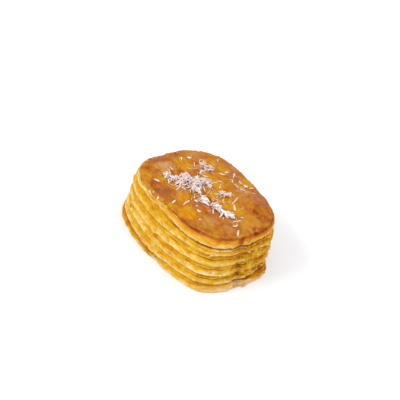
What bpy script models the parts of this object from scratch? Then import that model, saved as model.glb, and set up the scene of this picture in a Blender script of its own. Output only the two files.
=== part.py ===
"""A small butter roll of laminated dough, sprinkled with coconut.

The roll is one solid: an oblong stack of puffed layers that lean on each other like shingles,
under a glazed, gently domed lid, with coconut shreds stuck to the lid. Metres, +Z up. The origin
is the middle of the flat base, +X runs along the roll and the lid leans over towards +X and +Y.
"""
import math
import random

import bmesh
import bpy
from mathutils import Vector, noise
from mathutils.bvhtree import BVHTree

MM = 0.001

# The two outlines that the wall runs between: the base and the rim of the lid.
BASE_HALF_LENGTH = 45.3 * MM
BASE_HALF_WIDTH = 28.1 * MM
BASE_SQUARENESS = 3.45
LID_HALF_LENGTH = 40.7 * MM
LID_HALF_WIDTH = 28.6 * MM
LID_SQUARENESS = 2.85
BASE_SKEW = (0.013, 0.024)       # third harmonics, cosine and sine: the outlines are not even
LID_SKEW = (0.025, -0.010)
LID_LEAN = Vector((3.4 * MM, 4.1 * MM))
RIM_HEIGHT = 31.9 * MM
RIM_SLOPE = Vector((0.018, -0.066))   # rise of the rim per metre along X and Y

# The layers, counted from the table up. A gap's height is a share of the rim's height.
GAP_LEVELS = (0.0, 0.12, 0.29, 0.477, 0.70, 0.878, 1.0)
GAP_SWELL = (0.0, 0.043, 0.027, 0.033, 0.026, -0.024, 0.0)   # the layers puffed unevenly
SWELL_TURN = math.radians(30)
GAP_LAP = (0.0, 0.08, 0.06, 0.08, 0.02, 0.02, 0.0)           # and ride up where the dough laps
LAP_ANGLE = math.radians(12)
LAP_HALF_WIDTH = math.radians(22)
LID_THINNING = 0.06              # the lid is thinnest at the corner of the -X end and -Y flank
LID_THIN_ANGLE = math.radians(-125)
LID_THIN_HALF_WIDTH = math.radians(25)
RAGGED_SHARE = 0.010             # torn edges make a gap waver
RAGGED_TURNS = 5.5
LAYER_REACH = (0.4 * MM, -0.3 * MM, -0.6 * MM, 0.1 * MM, 0.8 * MM, 0.1 * MM)
LIP_SHARE = 0.14                 # the pale lower lip of a layer stands this far up in it
LIP_FLARE = 0.35 * MM
GAP_DEPTH = 1.5 * MM
BASE_EDGE_SET_BACK = 0.5 * MM
RAGGED_REACH = 0.6 * MM          # torn lips
RAGGED_GRAIN = 7.0 * MM

# Where the folded dough closes, a crease runs down the +X end wall.
CREASE_ANGLE_TOP = math.radians(-9)
CREASE_ANGLE_BASE = math.radians(-2)
CREASE_DEPTH = 0.9 * MM
CREASE_HALF_WIDTH = math.radians(3.6)
HOLLOW_ANGLE = math.radians(24)  # a lower layer has pulled back at this corner
HOLLOW_LEVEL = 0.20
HOLLOW_DEPTH = 2.4 * MM
HOLLOW_HALF_WIDTH = math.radians(14)
HOLLOW_HALF_HEIGHT = 0.085

# The lid's crust.
RIM_ROUNDING = 0.8 * MM
RIM_WAVE_HEIGHT = 0.7 * MM
RIM_WAVE_GRAIN = 14.0 * MM
DOME_HEIGHT = 2.4 * MM
BUBBLE_HEIGHT = 0.55 * MM
BUBBLE_GRAIN = 11.0 * MM
BLISTERS = (                     # x, y from the lid's middle, radius, height, all in mm
    (-12.0, -21.0, 9.0, 0.9),
    (14.0, -16.0, 7.0, 0.8),
    (17.0, 19.0, 8.0, 0.8),
    (-27.0, -8.0, 8.0, 0.7),
    (-24.0, 12.0, 7.0, 0.6),
    (29.0, -11.0, 7.0, 0.5),
    (2.0, -21.0, 6.0, -0.7),
    (-24.0, 2.0, 5.0, -0.8),
    (16.0, 5.0, 9.0, -0.7),
    (5.0, -4.0, 4.0, -0.8),
)

# Coconut: a shred is a thin bent bar, and the drifts say where the shreds fell.
SHRED_LENGTHS = (3.4 * MM, 6.2 * MM)
SHRED_WIDTHS = (0.8 * MM, 1.15 * MM)
SHRED_THICKNESS = 0.6 * MM
SHRED_SINK = 0.12 * MM           # how far its underside sits in the crust
SHRED_BEND = 0.18
LOOSE = 180                      # shreds that lie any way round
DRIFTS = (     # x, y, half length, half width in mm, heading, turn either way, shreds, raised end in mm
    (-9.0, -5.0, 11.5, 4.4, 42, LOOSE, 36, 1.3),
    (-18.0, 9.5, 4.5, 3.0, 60, LOOSE, 11, 0.8),
    (6.5, -6.4, 3.6, 0.8, 24, 35, 5, 0.5),
    (14.5, -4.2, 4.6, 0.8, 16, 30, 7, 0.5),
    (23.5, -2.0, 4.6, 0.8, 14, 30, 7, 0.5),
    (6.5, 6.6, 3.4, 1.8, 35, LOOSE, 7, 0.5),
    (-20.0, -19.0, 5.0, 3.0, 40, LOOSE, 3, 0.0),
    (-1.0, -20.0, 9.0, 4.0, 10, LOOSE, 5, 0.0),
    (18.0, -12.5, 7.0, 3.5, 20, LOOSE, 6, 0.0),
    (33.0, -4.0, 3.5, 3.0, 30, LOOSE, 4, 0.0),
    (16.0, 7.0, 8.0, 3.0, 20, LOOSE, 5, 0.0),
    (0.0, 17.0, 10.0, 3.5, 10, LOOSE, 7, 0.0),
    (-28.0, 3.0, 3.0, 4.0, 60, LOOSE, 4, 0.0),
)
SHRED_SPREAD = 0.62              # most of a drift lies within this share of its half sizes

# How finely the crust is faceted.
COLUMNS = 80
LAYER_STEPS = (0.0, LIP_SHARE, 0.36, 0.64, 0.87)
LID_STEPS = (0.0, LIP_SHARE, 0.45, 0.80, 1.0)
CRUST_RINGS = (1.0, 0.94, 0.84, 0.71, 0.57, 0.43, 0.29, 0.14)

CRUST_COLOUR = (0.62, 0.28, 0.045, 1.0)
CRUST_ROUGHNESS = 0.42
LAYER_SEEDS = (0.37, 5.61, 10.29, 15.83, 20.47, 25.71)
RIM_SEED = 31.4
BUBBLE_SEED = 37.6
SHRED_SEED = 12


def clear_scene():
    for item in list(bpy.data.objects):
        bpy.data.objects.remove(item, do_unlink=True)


def crust_material():
    """Egg-washed, baked dough: golden brown, half gloss, not a metal."""
    material = bpy.data.materials.new("baked_crust")
    material.use_nodes = True
    shader = material.node_tree.nodes["Principled BSDF"]
    shader.inputs["Base Color"].default_value = CRUST_COLOUR
    shader.inputs["Roughness"].default_value = CRUST_ROUGHNESS
    shader.inputs["Metallic"].default_value = 0.0
    return material


def blend(low, high, share):
    return low + (high - low) * share


def smooth_step(value):
    value = min(max(value, 0.0), 1.0)
    return value * value * (3.0 - 2.0 * value)


def outline_radius(angle, level):
    """Distance from the stack's middle line to the wall, between the base (0) and the rim (1)."""
    half_length = blend(BASE_HALF_LENGTH, LID_HALF_LENGTH, level)
    half_width = blend(BASE_HALF_WIDTH, LID_HALF_WIDTH, level)
    squareness = blend(BASE_SQUARENESS, LID_SQUARENESS, level)
    along = abs(math.cos(angle)) / half_length
    across = abs(math.sin(angle)) / half_width
    oblong = (along ** squareness + across ** squareness) ** (-1.0 / squareness)
    cosine = blend(BASE_SKEW[0], LID_SKEW[0], level) * math.cos(3.0 * angle)
    sine = blend(BASE_SKEW[1], LID_SKEW[1], level) * math.sin(3.0 * angle)
    return oblong * (1.0 + cosine + sine)


def bump(value, middle, half_width):
    return math.exp(-((value - middle) / half_width) ** 2)


def gap_level(gap, angle):
    """Height share of a gap between two layers, at this angle round the roll."""
    level = GAP_LEVELS[gap] + GAP_SWELL[gap] * math.cos(3.0 * (angle + SWELL_TURN))
    level += GAP_LAP[gap] * bump(angle, LAP_ANGLE, LAP_HALF_WIDTH)
    if gap == len(GAP_LEVELS) - 2:
        level += LID_THINNING * bump(angle, LID_THIN_ANGLE, LID_THIN_HALF_WIDTH)
    if 0 < gap < len(GAP_LEVELS) - 1:
        spot = Vector((math.cos(angle), math.sin(angle), 0.0)) * RAGGED_TURNS
        spot.z = LAYER_SEEDS[gap] + 3.3
        level += RAGGED_SHARE * noise.noise(spot)
    return level


def shingle(step, is_lid):
    """How far a layer stands out, from its lower gap (0) over its lip to the gap above it (1)."""
    if step < LIP_SHARE:
        return -GAP_DEPTH + (GAP_DEPTH + LIP_FLARE) * smooth_step(step / LIP_SHARE)
    climb = (step - LIP_SHARE) / (1.0 - LIP_SHARE)
    if is_lid:
        return LIP_FLARE * (1.0 - climb ** 1.4)
    return LIP_FLARE - (GAP_DEPTH + LIP_FLARE) * climb ** 1.3


def crease_set_back(angle, level):
    """The closing crease on the end wall, and the pulled-back corner beside it."""
    crease_angle = blend(CREASE_ANGLE_BASE, CREASE_ANGLE_TOP, level)
    crease = CREASE_DEPTH * bump(angle, crease_angle, CREASE_HALF_WIDTH)
    hollow = bump(angle, HOLLOW_ANGLE, HOLLOW_HALF_WIDTH) * bump(level, HOLLOW_LEVEL, HOLLOW_HALF_HEIGHT)
    return crease + HOLLOW_DEPTH * hollow


def rim_height(x, y):
    """Height of the rim's plane over a point measured from the lid's middle."""
    return RIM_HEIGHT + RIM_SLOPE.x * x + RIM_SLOPE.y * y


def rim_wave(x, y):
    """The rim rises and dips a little where the lid puffed up unevenly."""
    spot = Vector((x, y, 0.0)) / RIM_WAVE_GRAIN
    spot.z = RIM_SEED
    return RIM_WAVE_HEIGHT * noise.noise(spot)


def wall_point(angle, layer, step):
    """A point of the layered wall."""
    is_lid = layer == len(GAP_LEVELS) - 2
    level = blend(gap_level(layer, angle), gap_level(layer + 1, angle), step)
    radius = outline_radius(angle, level)
    direction = Vector((math.cos(angle), math.sin(angle)))
    spot = Vector((direction.x * radius, direction.y * radius, 0.0)) / RAGGED_GRAIN
    spot.z = LAYER_SEEDS[layer]
    torn = noise.noise(spot)
    if layer == 0 and step == 0.0:
        out = -BASE_EDGE_SET_BACK
    else:
        reach = LAYER_REACH[layer] * math.sin(math.pi * min(max(step, 0.1), 0.9))
        out = shingle(step, is_lid) + reach + RAGGED_REACH * torn - crease_set_back(angle, level)
    flat = direction * (radius + out) + LID_LEAN * level
    height = level * rim_height(direction.x * radius, direction.y * radius)
    height += level ** 4 * rim_wave(direction.x * radius, direction.y * radius)
    return Vector((flat.x, flat.y, height))


def crust_point(angle, share):
    """A point of the lid's crust: share is 1 on the rim and 0 in the middle of the lid."""
    radius = outline_radius(angle, 1.0)
    edge = radius - RIM_ROUNDING
    x = math.cos(angle) * edge * share
    y = math.sin(angle) * edge * share
    dome = DOME_HEIGHT * (1.0 - share ** 2.2)
    spot = Vector((x, y, 0.0)) / BUBBLE_GRAIN
    spot.z = BUBBLE_SEED
    bubbles = BUBBLE_HEIGHT * (noise.noise(spot) + 0.4 * noise.noise(spot * 2.1))
    for blister_x, blister_y, blister_radius, blister_height in BLISTERS:
        reach = math.hypot(x / MM - blister_x, y / MM - blister_y) / blister_radius
        bubbles += blister_height * MM * math.exp(-reach * reach * 2.0)
    height = rim_height(x, y) + rim_wave(x, y) * share ** 4 + RIM_ROUNDING * 0.5
    height += dome + bubbles * (1.0 - 0.6 * share ** 6)
    return Vector((x + LID_LEAN.x, y + LID_LEAN.y, height))


def ring(mesh, points):
    return [mesh.verts.new(point) for point in points]


def bridge(mesh, lower, upper):
    """A band of faces between two rings, facing outwards for rings that run anticlockwise."""
    count = len(lower)
    for index in range(count):
        following = (index + 1) % count
        mesh.faces.new((lower[index], lower[following], upper[following], upper[index]))


def roll_mesh():
    """The closed crust: flat base, layered wall, rounded rim and domed lid."""
    mesh = bmesh.new()
    angles = [math.tau * column / COLUMNS for column in range(COLUMNS)]
    angles = [angle if angle < math.pi else angle - math.tau for angle in angles]
    lid = len(GAP_LEVELS) - 2
    rings = []
    for layer in range(lid + 1):
        for step in (LID_STEPS if layer == lid else LAYER_STEPS):
            rings.append(ring(mesh, [wall_point(angle, layer, step) for angle in angles]))
    for share in CRUST_RINGS:
        rings.append(ring(mesh, [crust_point(angle, share) for angle in angles]))
    for lower, upper in zip(rings, rings[1:]):
        bridge(mesh, lower, upper)
    middle = mesh.verts.new(crust_point(0.0, 0.0))
    last = rings[-1]
    for index in range(COLUMNS):
        mesh.faces.new((last[index], last[(index + 1) % COLUMNS], middle))
    mesh.faces.new(list(reversed(rings[0])))
    bmesh.ops.triangulate(mesh, faces=[face for face in mesh.faces if len(face.verts) == 4])
    mesh.normal_update()
    return mesh


def shred_mesh(crust, place, heading, length, width, raised, bend):
    """One coconut shred: a thin bar of three sections, bent in plan, lying on the crust."""
    mesh = bmesh.new()
    sections = []
    for end in (-1.0, 0.0, 1.0):
        turn = heading + SHRED_BEND * end * bend
        along = Vector((math.cos(turn), math.sin(turn), 0.0))
        across = Vector((-along.y, along.x, 0.0))
        middle = Vector((place.x, place.y, 0.0)) + along * (end * length / 2.0)
        hit = crust.ray_cast(middle + Vector((0.0, 0.0, 1.0)), Vector((0.0, 0.0, -1.0)))[0]
        if hit is None:
            mesh.free()
            return None
        foot = hit.z - SHRED_SINK + raised * max(end, 0.0)
        narrow = width * (0.72 if end else 1.0) / 2.0
        corners = []
        for side, up in ((-1.0, 0.0), (1.0, 0.0), (1.0, 1.0), (-1.0, 1.0)):
            corner = middle + across * (side * narrow)
            corners.append(mesh.verts.new((corner.x, corner.y, foot + SHRED_THICKNESS * up)))
        sections.append(corners)
    for first, second in zip(sections, sections[1:]):
        for index in range(4):
            following = (index + 1) % 4
            mesh.faces.new((first[index], first[following], second[following], second[index]))
    mesh.faces.new(list(reversed(sections[0])))
    mesh.faces.new(sections[-1])
    bmesh.ops.recalc_face_normals(mesh, faces=mesh.faces)
    return mesh


def coconut_shreds(crust):
    """Every shred as an object of its own, in a collection that the roll is joined with."""
    collection = bpy.data.collections.new("coconut_shreds")
    bpy.context.scene.collection.children.link(collection)
    draw = random.Random(SHRED_SEED)
    for x, y, half_length, half_width, heading, freedom, count, raised in DRIFTS:
        turn = math.radians(heading)
        for _ in range(count):
            along = draw.gauss(0.0, SHRED_SPREAD) * half_length
            across = draw.gauss(0.0, SHRED_SPREAD) * half_width
            place = Vector((
                (x + along * math.cos(turn) - across * math.sin(turn)) * MM + LID_LEAN.x,
                (y + along * math.sin(turn) + across * math.cos(turn)) * MM + LID_LEAN.y,
            ))
            facing = turn + math.radians(draw.uniform(-freedom, freedom))
            length = draw.uniform(*SHRED_LENGTHS)
            width = draw.uniform(*SHRED_WIDTHS)
            lift = draw.uniform(0.0, raised) * MM
            mesh = shred_mesh(crust, place, facing, length, width, lift, draw.uniform(-1.0, 1.0))
            if mesh is None:
                continue
            data = bpy.data.meshes.new("coconut_shred")
            mesh.to_mesh(data)
            mesh.free()
            collection.objects.link(bpy.data.objects.new("coconut_shred", data))
    return collection


def fuse(roll, collection):
    """Join the shreds to the crust, then take the loose objects away."""
    union = roll.modifiers.new("fused_coconut", "BOOLEAN")
    union.operation = "UNION"
    union.operand_type = "COLLECTION"
    union.collection = collection
    union.solver = "EXACT"
    graph = bpy.context.evaluated_depsgraph_get()
    joined = bpy.data.meshes.new_from_object(roll.evaluated_get(graph))
    roll.modifiers.clear()
    roll.data = joined
    for shred in list(collection.objects):
        bpy.data.objects.remove(shred, do_unlink=True)
    bpy.data.collections.remove(collection)


def keep_outer_shell(roll):
    """Fill hollows that the shreds close off and drop loose scraps: only the largest shell stays."""
    mesh = bmesh.new()
    mesh.from_mesh(roll.data)
    unseen = set(mesh.verts)
    shells = []
    while unseen:
        start = unseen.pop()
        shell = [start]
        edge = [start]
        while edge:
            corner = edge.pop()
            for link in corner.link_edges:
                other = link.other_vert(corner)
                if other in unseen:
                    unseen.remove(other)
                    shell.append(other)
                    edge.append(other)
        shells.append(shell)
    shells.sort(key=len)
    for shell in shells[:-1]:
        bmesh.ops.delete(mesh, geom=shell, context="VERTS")
    bmesh.ops.triangulate(mesh, faces=mesh.faces)
    mesh.to_mesh(roll.data)
    mesh.free()


def butter_roll():
    """The whole roll as one closed solid."""
    mesh = roll_mesh()
    crust = BVHTree.FromBMesh(mesh)
    data = bpy.data.meshes.new("butter_roll")
    mesh.to_mesh(data)
    mesh.free()
    roll = bpy.data.objects.new("butter_roll", data)
    bpy.context.scene.collection.objects.link(roll)
    fuse(roll, coconut_shreds(crust))
    keep_outer_shell(roll)
    roll.data.materials.clear()
    roll.data.materials.append(crust_material())
    roll.data.shade_smooth()
    roll.data.set_sharp_from_angle(angle=math.radians(38))
    return roll


clear_scene()
butter_roll()
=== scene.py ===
"""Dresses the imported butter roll: leaves of baked dough, a glazed lid, flakes and coconut."""
import random
from math import atan2, cos, degrees, exp, hypot, pi, radians, sin, tan, tau

import bpy
from mathutils import Matrix, Vector, noise
from mathutils.bvhtree import BVHTree


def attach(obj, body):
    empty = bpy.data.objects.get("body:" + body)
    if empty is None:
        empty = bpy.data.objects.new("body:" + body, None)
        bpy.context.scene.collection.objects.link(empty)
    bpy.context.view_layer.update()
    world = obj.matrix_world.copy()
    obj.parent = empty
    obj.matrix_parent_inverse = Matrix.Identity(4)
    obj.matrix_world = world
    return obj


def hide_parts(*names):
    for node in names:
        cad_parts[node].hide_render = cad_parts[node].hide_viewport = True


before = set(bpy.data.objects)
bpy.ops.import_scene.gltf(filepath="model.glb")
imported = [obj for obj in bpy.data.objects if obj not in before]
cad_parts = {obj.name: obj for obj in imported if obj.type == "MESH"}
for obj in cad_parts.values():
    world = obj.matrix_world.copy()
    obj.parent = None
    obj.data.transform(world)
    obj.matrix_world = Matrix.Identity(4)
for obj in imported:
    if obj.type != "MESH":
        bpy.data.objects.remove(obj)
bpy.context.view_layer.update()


# ---- Leaves ----------------------------------------------
# Five leaves of butter dough lie under the lid. Each is many thin sheets of dough that puffed in
# the oven: its lower lip dried pale, with a painted highlight on it, and hangs over the leaf below,
# and its top dips into a gap that is painted dark as shade.
# They hold together where they baked onto each other, over the whole inner face.

MM = 0.001


def blend(low, high, share):
    return low + (high - low) * share


def clamp(value):
    return min(max(value, 0), 1)


def smooth_step(value):
    value = clamp(value)
    return value * value * (3 - 2 * value)


def bump(value, middle, half_width):
    return exp(-((value - middle) / half_width) ** 2)


def around(middle, half_width):
    """A place round the roll for bump(), given in degrees from the middle of the end wall."""
    return radians(middle), radians(half_width)


def grain(x, y, size, seed, height=0):
    """Noise from about -1 to 1 at a place in metres, with grains of this size."""
    return noise.noise((x / size, y / size, height / size + seed))


# The wall's outline, each pair at the base and at the rim, and the lid's lean and slope.
HALF_LENGTHS, HALF_WIDTHS = (45.3 * MM, 40.7 * MM), (28.1 * MM, 28.6 * MM)
SQUARENESS, SKEW_COSINE, SKEW_SINE = (3.45, 2.85), (0.013, 0.025), (0.024, -0.010)
LID_LEAN = Vector((3.4 * MM, 4.1 * MM))
RIM_HEIGHT, RIM_SLOPE = 31.9 * MM, Vector((0.018, -0.066))
RIM_WAVE_HEIGHT, RIM_WAVE_GRAIN, RIM_SEED = 0.7 * MM, 14 * MM, 31.4

# The gaps between the leaves, as shares of the rim's height, from the floor to the rim.
GAP_LEVELS = (0, 0.12, 0.29, 0.477, 0.70, 0.878, 1)
GAP_SWELL, SWELL_TURN = (0, 0.043, 0.027, 0.033, 0.026, -0.024, 0), radians(30)
GAP_LAP, LAP = (0, 0.08, 0.06, 0.08, 0.02, 0.02, 0), around(12, 22)
LID_THINNING, LID_THIN = 0.06, around(-125, 25)
GAP_WAVE, GAP_WAVE_TURNS, GAP_WAVE_SEED = 0.010, 5.5, 3.3

LAYER_SEEDS = (0.37, 5.61, 10.29, 15.83, 20.47, 25.71)
LAYER_REACH = (0.4 * MM, -0.3 * MM, -0.6 * MM, 0.1 * MM, 0.8 * MM, 0.1 * MM)
RAGGED_REACH, RAGGED_GRAIN = 0.6 * MM, 7 * MM
CREASE_ANGLES, CREASE_HALF_WIDTH, CREASE_DEPTH = (radians(-2), radians(-9)), radians(3.6), 0.9 * MM
HOLLOW, HOLLOW_LEVEL, HOLLOW_HALF_HEIGHT, HOLLOW_DEPTH = around(24, 14), 0.20, 0.085, 2.4 * MM


def outline_radius(angle, level):
    """Distance from the stack's middle line to the wall, between the base (0) and the rim (1)."""
    along = abs(cos(angle)) / blend(*HALF_LENGTHS, level)
    across = abs(sin(angle)) / blend(*HALF_WIDTHS, level)
    squareness = blend(*SQUARENESS, level)
    oblong = (along ** squareness + across ** squareness) ** (-1 / squareness)
    skew = blend(*SKEW_COSINE, level) * cos(3 * angle) + blend(*SKEW_SINE, level) * sin(3 * angle)
    return oblong * (1 + skew)


def gap_level(gap, angle):
    """Height share of a gap between two leaves, at this angle round the roll."""
    level = GAP_LEVELS[gap] + GAP_SWELL[gap] * cos(3 * (angle + SWELL_TURN))
    level += GAP_LAP[gap] * bump(angle, *LAP)
    if gap == 5:
        level += LID_THINNING * bump(angle, *LID_THIN)
    if 0 < gap < 6:
        level += GAP_WAVE * noise.noise((cos(angle) * GAP_WAVE_TURNS, sin(angle) * GAP_WAVE_TURNS,
                                         LAYER_SEEDS[gap] + GAP_WAVE_SEED))
    return level


def set_back(angle, level):
    """The closing crease on the end wall, and the pulled-back corner beside it."""
    crease = CREASE_DEPTH * bump(angle, blend(*CREASE_ANGLES, level), CREASE_HALF_WIDTH)
    return crease + HOLLOW_DEPTH * bump(angle, *HOLLOW) * bump(level, HOLLOW_LEVEL, HOLLOW_HALF_HEIGHT)


def rim_height(x, y):
    return RIM_HEIGHT + RIM_SLOPE.x * x + RIM_SLOPE.y * y


def rim_wave(x, y):
    return RIM_WAVE_HEIGHT * grain(x, y, RIM_WAVE_GRAIN, RIM_SEED)


def wall_point(angle, level, out, up, seed, shown):
    """A point of the wall, so far out from its outline and so far up from its level."""
    way = Vector((cos(angle), sin(angle)))
    radius = outline_radius(angle, level)
    spot = way * radius
    out += RAGGED_REACH * grain(spot.x, spot.y, RAGGED_GRAIN, seed) * min(1, shown + 0.3)
    flat = way * (radius + out) + LID_LEAN * level
    height = level * rim_height(spot.x, spot.y) + level ** 4 * rim_wave(spot.x, spot.y) + up
    return flat.x, flat.y, max(height, 0)


def column_grain(angle, level, seed):
    """Noise at one column of the wall, by the grain's size in mm, a step of the seed and a height."""
    spot = Vector((cos(angle), sin(angle))) * outline_radius(angle, level)
    return lambda size, step, height=0: grain(spot.x, spot.y, size * MM, seed + step, height)


ROLL_COLUMNS, FINE_STEPS = 800, 4000


def even_angles():
    """Angles for the columns, stepped evenly along the outline, from -180 to 180 degrees."""
    fine = [-pi + tau * index / FINE_STEPS for index in range(FINE_STEPS + 1)]
    spots = [Vector((cos(turn), sin(turn))) * outline_radius(turn, 0.4) for turn in fine]
    walked = [0]
    for first, second in zip(spots, spots[1:]):
        walked.append(walked[-1] + (second - first).length)
    angles, at = [], 0
    for index in range(ROLL_COLUMNS):
        goal = walked[-1] * index / ROLL_COLUMNS
        while walked[at + 1] < goal:
            at += 1
        share = (goal - walked[at]) / (walked[at + 1] - walked[at])
        angles.append(blend(fine[at], fine[at + 1], share))
    return angles


ANGLES = even_angles()
TORN_FROM, TORN_TO, TORN_FADE = radians(-7), radians(52), radians(6)
REAR_TORN, REAR_TORN_FROM = 0.55, radians(150)


def torn_share(angle):
    """How torn the wall is: most on the end wall beside the crease, less on the end behind."""
    front = smooth_step((angle - TORN_FROM) / TORN_FADE)
    front *= smooth_step((TORN_TO - angle) / TORN_FADE / 2)
    rear = smooth_step((abs(angle) - REAR_TORN_FROM) / TORN_FADE / 2)
    return max(front, REAR_TORN * rear)


def paint(red, green, blue):
    """A colour as it looks, 0 to 255, in the linear light that the shader takes."""
    return tuple((c / 255 / 12.92 if c < 11 else ((c / 255 + 0.055) / 1.055) ** 2.4)
                 for c in (red, green, blue)) + (1,)


class Nodes:
    """Builds a node tree in few words: nodes by type, with sockets set or linked by name."""

    def __init__(self, tree):
        self.tree = tree

    def fill(self, node, values):
        for name, value in values.items():
            if isinstance(value, bpy.types.NodeSocket):
                self.tree.links.new(value, node.inputs[name])
            else:
                node.inputs[name].default_value = value

    def new(self, kind, values=None, **settings):
        node = self.tree.nodes.new(kind)
        for name, value in settings.items():
            setattr(node, name, value)
        self.fill(node, values or {})
        return node

    def add(self, kind, values=None, **settings):
        """The first output of a new node."""
        return self.new(kind, values, **settings).outputs[0]

    def math(self, operation, first, second=0, third=0, clamp=False):
        return self.add("ShaderNodeMath", {0: first, 1: second, 2: third},
                        operation=operation, use_clamp=clamp)

    def times(self, first, second, more=0):
        """The first times the second, plus more."""
        return self.math("MULTIPLY_ADD", first, second, more)

    def ramp(self, factor, stops):
        node = self.new("ShaderNodeValToRGB", {0: factor})
        elements = node.color_ramp.elements
        while len(elements) < len(stops):
            elements.new(0.5)
        for element, (place, colour) in zip(elements, stops):
            element.position = place
            element.color = colour
        return node.outputs[0]

    def mask(self, factor, start, end, most=1):
        """0 up to the start, rising to the most at the end."""
        return self.ramp(factor, ((start, (0, 0, 0, 1)), (end, (most, most, most, 1))))

    def mix(self, factor, first, second):
        return self.new("ShaderNodeMix", {0: factor, 6: first, 7: second}, data_type="RGBA").outputs[2]

    def noise(self, place, scale, detail):
        return self.add("ShaderNodeTexNoise", {"Vector": place, "Scale": scale, "Detail": detail})

    def share(self, name):
        """A number that a material reads from the piece's corners."""
        return self.new("ShaderNodeAttribute", attribute_name=name).outputs["Fac"]

    def carried(self, name, kind):
        """What a Geometry Nodes tree reads from the piece's corners."""
        return self.add("GeometryNodeInputNamedAttribute", {"Name": name}, data_type=kind)


def new_material(name):
    """A material with its tree, its shader and the object's own coordinates."""
    material = bpy.data.materials.new(name)
    material.use_nodes = True
    nodes = Nodes(material.node_tree)
    place = nodes.new("ShaderNodeTexCoord").outputs["Object"]
    return material, nodes, nodes.tree.nodes["Principled BSDF"], place


LEAF_COLOURS = (  # share and colour: pale lips with painted highlight to gaps with painted shade
    (0.00, paint(238, 214, 176)), (0.16, paint(234, 200, 118)), (0.34, paint(224, 178, 52)),
    (0.50, paint(208, 153, 18)), (0.66, paint(188, 120, 10)), (0.82, paint(146, 78, 10)),
    (1.00, paint(86, 42, 12)),
)
BLUSH_COLOUR, FLOURY_HIGHLIGHT_COLOUR = paint(206, 104, 16), paint(234, 196, 152)
SPECKLES, CLOUDS, SPOTS, ROUGHS = 900, 260, 300, 1600  # grains in a metre


def dough_material(name, colours, coat, gloss, roughness, blush, glaze=None):
    """Baked dough: its colour follows the share of toast and painted light, broken up by speckle,
    streaks and blush, and pales where flour and painted highlight lie.
    A glaze is a function that lays its own colours over this one."""
    material, nodes, shader, place = new_material(name)
    speckle, cloud = nodes.noise(place, SPECKLES, 3), nodes.noise(place, CLOUDS, 2)
    flat = nodes.add("ShaderNodeMapping", {"Vector": place, "Scale": (CLOUDS, CLOUDS, SPECKLES)})
    streak = nodes.noise(flat, 1, 2)
    share = nodes.times(speckle, 0.16, nodes.math("ADD", nodes.share("toast_and_painted_light"), -0.24))
    share = nodes.times(streak, 0.10, nodes.times(cloud, 0.20, share))
    spots = nodes.times(nodes.mask(nodes.noise(place, SPOTS, 2), 0.56, 0.66), blush)
    colour = nodes.mix(spots, nodes.ramp(share, colours), BLUSH_COLOUR)
    # Pale flour on the base leaf and a raw stripe, and a painted highlight along each lip.
    floury_and_highlight = nodes.math("MULTIPLY", nodes.share("floury_and_highlight"), 0.75, clamp=True)
    colour = nodes.mix(floury_and_highlight, colour, FLOURY_HIGHLIGHT_COLOUR)
    relief = nodes.times(streak, 0.8, nodes.noise(place, ROUGHS, 4))
    nodes.fill(shader, {
        "Base Color": glaze(nodes, place, colour) if glaze else colour,
        "Roughness": nodes.times(speckle, 0.22, roughness - 0.11),
        "Normal": nodes.add("ShaderNodeBump", {"Height": relief, "Strength": 0.7, "Distance": 0.0006}),
        "Specular IOR Level": gloss, "Coat Weight": coat, "Coat Roughness": 0.16,
        "Subsurface Weight": 0.12, "Subsurface Radius": (1, 0.55, 0.2), "Subsurface Scale": 0.0015})
    return material


def new_object(name, data):
    made = bpy.data.objects.new(name, data)
    bpy.context.scene.collection.objects.link(made)
    return made


def new_piece(name, corners, faces, material, shares):
    """A piece at the origin, with a number per corner for each named share."""
    data = bpy.data.meshes.new(name)
    data.from_pydata(corners, [], faces)
    for label, values in shares.items():
        data.attributes.new(label, "FLOAT", "POINT").data.foreach_set("value", values)
    data.materials.append(material)
    data.shade_smooth()
    return new_object(name, data)


def new_tree(name, sizes):
    """An empty Geometry Nodes tree with its named inputs: returns its builder and its inputs."""
    tree = bpy.data.node_groups.new(name, "GeometryNodeTree")
    socket = tree.interface.new_socket
    socket("Geometry", in_out="INPUT", socket_type="NodeSocketGeometry")
    for label, size in sizes.items():
        socket(label, in_out="INPUT", socket_type="NodeSocketFloat").default_value = size
    socket("Crust", in_out="INPUT", socket_type="NodeSocketMaterial")
    socket("Geometry", in_out="OUTPUT", socket_type="NodeSocketGeometry")
    nodes = Nodes(tree)
    return nodes, nodes.new("NodeGroupInput").outputs


def end_tree(nodes, given, shapes):
    """Ends a tree: its shapes made real, in the piece's own material."""
    real = nodes.add("GeometryNodeRealizeInstances", {"Geometry": shapes})
    finished = nodes.add("GeometryNodeSetMaterial", {"Geometry": real, "Material": given["Crust"]})
    nodes.new("NodeGroupOutput", {"Geometry": finished})
    return nodes.tree


def grow(piece, tree, sizes):
    """Runs a Geometry Nodes tree on a piece and keeps the result as its plain mesh."""
    modifier = piece.modifiers.new(tree.name, "NODES")
    modifier.node_group = tree
    for item in tree.interface.items_tree:
        if item.item_type == "SOCKET" and item.in_out == "INPUT" and item.name in sizes:
            modifier[item.identifier] = sizes[item.name]
    graph = bpy.context.evaluated_depsgraph_get()
    result = bpy.data.meshes.new_from_object(piece.evaluated_get(graph))
    result.name = piece.name
    piece.modifiers.remove(modifier)
    piece.data = result


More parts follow.
